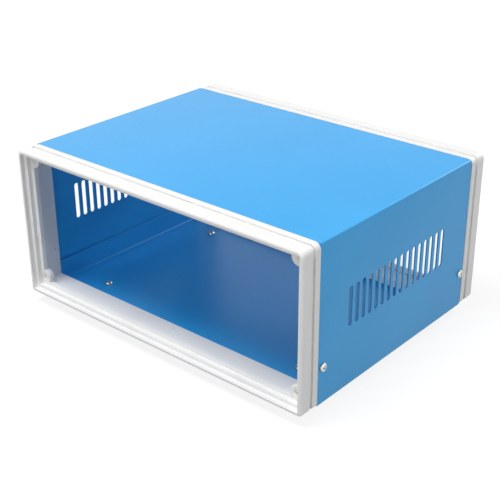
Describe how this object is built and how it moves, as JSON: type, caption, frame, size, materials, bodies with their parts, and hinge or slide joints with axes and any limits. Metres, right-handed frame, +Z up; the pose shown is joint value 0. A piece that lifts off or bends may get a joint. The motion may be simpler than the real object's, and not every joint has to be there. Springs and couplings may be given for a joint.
{
  "type": "instrument enclosure",
  "caption": "Folded sheet-steel instrument case with moulded end bezels, a stepped panel recess at each open end, side vent slots and rubber feet.",
  "frame": {"origin": "on the ground under the middle of the case, between the feet", "axes": "+X to the right as seen from the front, +Y from the front bezel to the rear one, +Z up; the front faces -Y"},
  "size_m": [0.2534, 0.2, 0.1186],
  "materials": {
    "white_abs": "satin moulded",
    "blue_powder_coat": "semi-gloss powder coat",
    "nickel_steel": "bright nickel plate",
    "black_rubber": "matt"
  },
  "bodies": {
    "root": {"front_bezel": "white_abs", "rear_bezel": "white_abs", "top_cover": "blue_powder_coat", "bottom_tray": "blue_powder_coat", "cover_screws": "nickel_steel", "tray_screws": "nickel_steel", "foot_front_left": "black_rubber", "foot_front_right": "black_rubber", "foot_rear_left": "black_rubber", "foot_rear_right": "black_rubber", "foot_screws": "nickel_steel", "foot_washers": "nickel_steel", "foot_nuts": "nickel_steel"}
  },
  "joints": []
}
